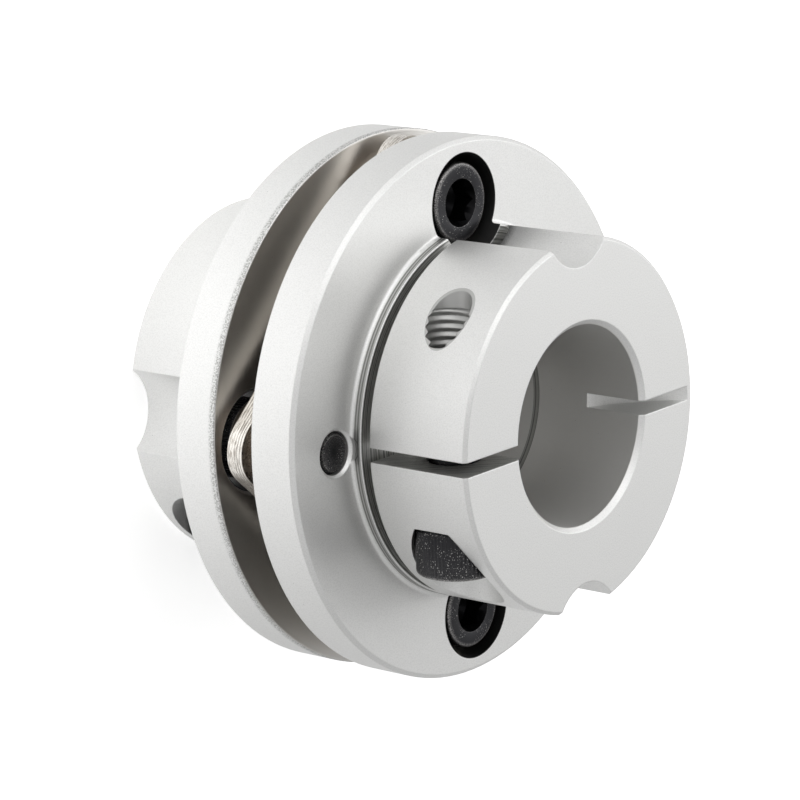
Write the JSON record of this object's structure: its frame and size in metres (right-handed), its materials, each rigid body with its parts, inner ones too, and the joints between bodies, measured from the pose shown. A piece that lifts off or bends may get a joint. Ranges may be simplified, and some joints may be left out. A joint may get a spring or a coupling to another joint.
{
  "type": "disc coupling",
  "caption": "Clamp-type disc coupling: two slotted aluminium hubs, screwed crosswise through a square pack of thin steel discs, join two shafts end to end.",
  "frame": {"origin": "on the shaft axis, at the rear hub's end face, on which the coupling stands", "axes": "+Z along the shaft axis from the rear hub to the front hub; the front hub's slit is towards -X and its disc screws lie on the Y axis"},
  "size_m": [0.068, 0.068, 0.0536],
  "materials": {
    "hub_aluminium": "fine bead-blasted satin, clear anodised",
    "black_steel": "black-oxide alloy steel, lightly oiled",
    "collar_steel": "turned steel",
    "spring_steel": "thin rolled stainless spring steel, sheared edges"
  },
  "bodies": {
    "root": {"front_hub": "hub_aluminium", "front_clamp_screw": "black_steel", "rear_hub": "hub_aluminium", "rear_clamp_screw": "black_steel", "disc_screw_1": "black_steel", "head_collar_1": "collar_steel", "spacer_collar_1": "collar_steel", "disc_screw_2": "black_steel", "head_collar_2": "collar_steel", "spacer_collar_2": "collar_steel", "disc_screw_3": "black_steel", "head_collar_3": "collar_steel", "spacer_collar_3": "collar_steel", "disc_screw_4": "black_steel", "head_collar_4": "collar_steel", "spacer_collar_4": "collar_steel", "disc_lamination_1": "spring_steel", "disc_lamination_2": "spring_steel", "disc_lamination_3": "spring_steel", "disc_lamination_4": "spring_steel", "disc_lamination_5": "spring_steel", "disc_lamination_6": "spring_steel"}
  },
  "joints": []
}
